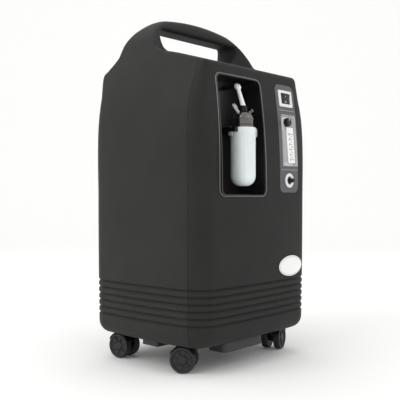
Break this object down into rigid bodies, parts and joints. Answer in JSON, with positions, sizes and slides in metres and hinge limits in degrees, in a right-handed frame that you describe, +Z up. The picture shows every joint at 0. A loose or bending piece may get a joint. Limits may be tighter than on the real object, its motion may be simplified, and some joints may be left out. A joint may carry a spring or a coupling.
{
  "type": "oxygen concentrator",
  "caption": "Upright wheeled oxygen concentrator with arched carry handle, recessed humidifier bottle, flowmeter strip and grooved foot band.",
  "frame": {"origin": "on the floor under the middle of the object's box", "axes": "+Z up, front face towards -Y, humidifier pocket on the -X side of the front"},
  "size_m": [0.372, 0.3494, 0.705],
  "materials": {
    "cover_side": "fine spark texture ABS",
    "cover_front": "fine spark texture ABS",
    "black_plastic": "moulded black",
    "tray_grey": "moulded grey",
    "trim_light": "satin light trim",
    "label_white": "printed film, blank",
    "strip_grey": "fine texture grey",
    "white_plastic": "white ABS",
    "clear_acrylic": "clear acrylic",
    "jar_clear": "clear polycarbonate",
    "lid_grey": "smoky grey",
    "rubber_black": "moulded rubber",
    "foam": "open-cell filter foam",
    "steel_zinc": "zinc plated",
    "cast_alloy": "die cast",
    "brass": "turned brass",
    "board_green": "solder mask",
    "wheel_black": "polyurethane tread",
    "tank_white": "blow moulded",
    "float_black": "polished ball"
  },
  "bodies": {
    "cabinet": {"rear_cover": "cover_side", "front_cover": "cover_front", "base_tray": "black_plastic", "base_duct": "tray_grey", "exhaust_muffler": "black_plastic", "cover_screws": "steel_zinc", "pocket_liner": "black_plastic", "pocket_rim": "trim_light", "info_label": "label_white", "control_panel": "strip_grey", "panel_dividers": "trim_light", "switch_bezel": "white_plastic", "flowmeter_body": "clear_acrylic", "flow_scale": "label_white", "outlet_bezel": "white_plastic", "outlet_stub": "black_plastic", "bottle_bracket": "black_plastic", "humidifier_lid": "lid_grey", "jar_gasket": "rubber_black", "dip_tube": "clear_acrylic", "relief_valve": "lid_grey", "inlet_elbow": "white_plastic", "lid_outlet_port": "clear_acrylic", "filter_frame": "black_plastic", "intake_filter": "foam", "power_panel": "strip_grey", "mains_inlet": "black_plastic", "breaker_body": "black_plastic", "chassis_base": "steel_zinc", "chassis_shelf": "steel_zinc", "chassis_posts": "steel_zinc", "chassis_rails": "steel_zinc", "compressor_body": "cast_alloy", "compressor_heads": "cast_alloy", "compressor_mounts": "rubber_black", "sieve_beds": "cast_alloy", "product_tank": "tank_white", "valve_manifold": "cast_alloy", "solenoid_valves": "black_plastic", "pressure_regulator": "brass", "cooling_coil": "cast_alloy", "fan_housing": "black_plastic", "intake_muffler": "black_plastic", "motor_capacitor": "black_plastic", "control_board": "board_green", "caster_plates": "steel_zinc"},
    "rocker": {"power_rocker": "black_plastic"},
    "float": {"flow_float": "float_black"},
    "knob": {"flow_knob": "black_plastic"},
    "jar": {"humidifier_jar": "jar_clear"},
    "door": {"filter_door": "black_plastic"},
    "breaker_button": {"breaker_button": "black_plastic"},
    "fan": {"fan_rotor": "black_plastic"},
    "caster_fl": {"caster_fork_fl": "black_plastic"},
    "wheels_fl": {"caster_wheels_fl": "wheel_black"},
    "caster_fr": {"caster_fork_fr": "black_plastic"},
    "wheels_fr": {"caster_wheels_fr": "wheel_black"},
    "caster_rl": {"caster_fork_rl": "black_plastic"},
    "wheels_rl": {"caster_wheels_rl": "wheel_black"},
    "caster_rr": {"caster_fork_rr": "black_plastic"},
    "wheels_rr": {"caster_wheels_rr": "wheel_black"}
  },
  "joints": [
    {"name": "power_switch", "type": "hinge", "parent": "cabinet", "child": "rocker", "pos_m": [0.09, -0.14766, 0.53658], "axis": [1, 0, 0], "range_deg": [-16, 0]},
    {"name": "float_rise", "type": "slide", "parent": "cabinet", "child": "float", "axis": [0, 0.0746, 0.9972], "range_m": [0, 0.056]},
    {"name": "flow_adjust", "type": "hinge", "parent": "cabinet", "child": "knob", "pos_m": [0.08, -0.16251, 0.48635], "axis": [0, -0.9972, 0.0746], "range_deg": [0, 330]},
    {"name": "jar_unscrew", "type": "hinge", "parent": "cabinet", "child": "jar", "pos_m": [-0.043, -0.146, 0.4], "axis": [0, 0, 1], "range_deg": [-360, 0]},
    {"name": "door_swing", "type": "hinge", "parent": "cabinet", "child": "door", "pos_m": [-0.05, 0.172, 0.479], "axis": [1, 0, 0], "range_deg": [0, 80]},
    {"name": "breaker_push", "type": "slide", "parent": "cabinet", "child": "breaker_button", "axis": [0, -1, 0], "range_m": [0, 0.003], "stiffness_N_per_m": 400},
    {"name": "fan_spin", "type": "hinge", "parent": "cabinet", "child": "fan", "pos_m": [0.062, -0.072, 0.1245], "axis": [0, 1, 0], "continuous": true},
    {"name": "swivel_fl", "type": "hinge", "parent": "cabinet", "child": "caster_fl", "pos_m": [-0.129, -0.088, 0.05], "axis": [0, 0, 1], "continuous": true},
    {"name": "roll_fl", "type": "hinge", "parent": "caster_fl", "child": "wheels_fl", "pos_m": [-0.1357, -0.07686, 0.025], "axis": [0.8572, 0.515, 0], "continuous": true},
    {"name": "swivel_fr", "type": "hinge", "parent": "cabinet", "child": "caster_fr", "pos_m": [0.129, -0.088, 0.05], "axis": [0, 0, 1], "continuous": true},
    {"name": "roll_fr", "type": "hinge", "parent": "caster_fr", "child": "wheels_fr", "pos_m": [0.14143, -0.0842, 0.025], "axis": [0.2924, -0.9563, 0], "continuous": true},
    {"name": "swivel_rl", "type": "hinge", "parent": "cabinet", "child": "caster_rl", "pos_m": [-0.129, 0.088, 0.05], "axis": [0, 0, 1], "continuous": true},
    {"name": "roll_rl", "type": "hinge", "parent": "caster_rl", "child": "wheels_rl", "pos_m": [-0.13058, 0.1009, 0.025], "axis": [0.9925, 0.1219, 0], "continuous": true},
    {"name": "swivel_rr", "type": "hinge", "parent": "cabinet", "child": "caster_rr", "pos_m": [0.129, 0.088, 0.05], "axis": [0, 0, 1], "continuous": true},
    {"name": "roll_rr", "type": "hinge", "parent": "caster_rr", "child": "wheels_rr", "pos_m": [0.13345, 0.10022, 0.025], "axis": [0.9397, -0.342, 0], "continuous": true}
  ]
}
